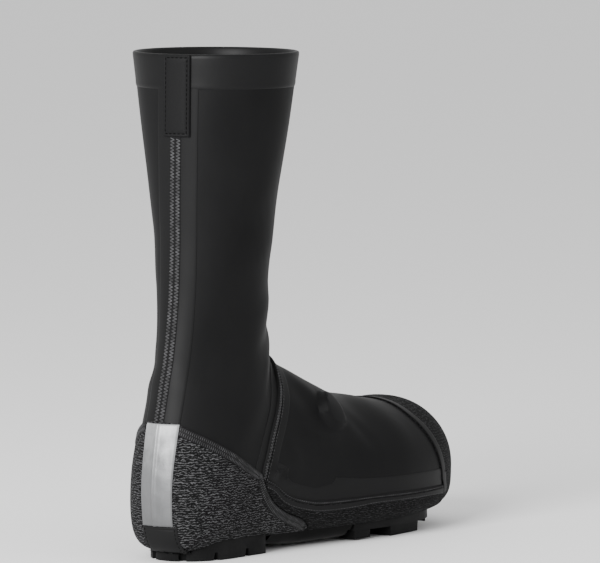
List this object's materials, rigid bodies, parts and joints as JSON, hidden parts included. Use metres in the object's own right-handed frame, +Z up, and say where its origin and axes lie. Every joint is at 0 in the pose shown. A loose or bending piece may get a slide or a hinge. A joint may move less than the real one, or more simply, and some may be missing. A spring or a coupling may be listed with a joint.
{
  "type": "cycling overshoe",
  "caption": "Tall stretch overshoe for cycling, with toe cap, knit heel counter, reflective heel strip and lugged sole.",
  "frame": {"origin": "on the floor, under the middle of the whole shoe", "axes": "+Z up the shaft, +Y towards the toe, +X towards the outer side of the right foot"},
  "size_m": [0.113, 0.2995, 0.323],
  "materials": {
    "skin": "black stretch laminate, smooth and dull",
    "tape": "black bonded tape, close weave",
    "seam": "black stitched flat seam with grey thread",
    "knit": "black hard-wearing fine knit",
    "melange_knit": "coarse black and grey melange knit",
    "reflective": "silver reflective film",
    "plate": "black moulded nylon",
    "insole_cloth": "dark grey foam with cloth cover",
    "tread_rubber": "black tread rubber",
    "strap": "glossy black coated web"
  },
  "bodies": {
    "root": {"upper": "skin", "cuff": "tape", "back_tab": "tape", "back_seam": "seam", "instep_seam": "seam", "side_seam_outer": "seam", "side_seam_inner": "seam", "side_band": "knit", "toe_cap": "knit", "heel_counter": "melange_knit", "reflective_strip": "reflective", "heel_patch": "tape", "sole_plate": "plate", "insole": "insole_cloth", "heel_tread": "tread_rubber", "forefoot_tread_outer": "tread_rubber", "forefoot_tread_inner": "tread_rubber", "arch_strap": "strap"}
  },
  "joints": []
}
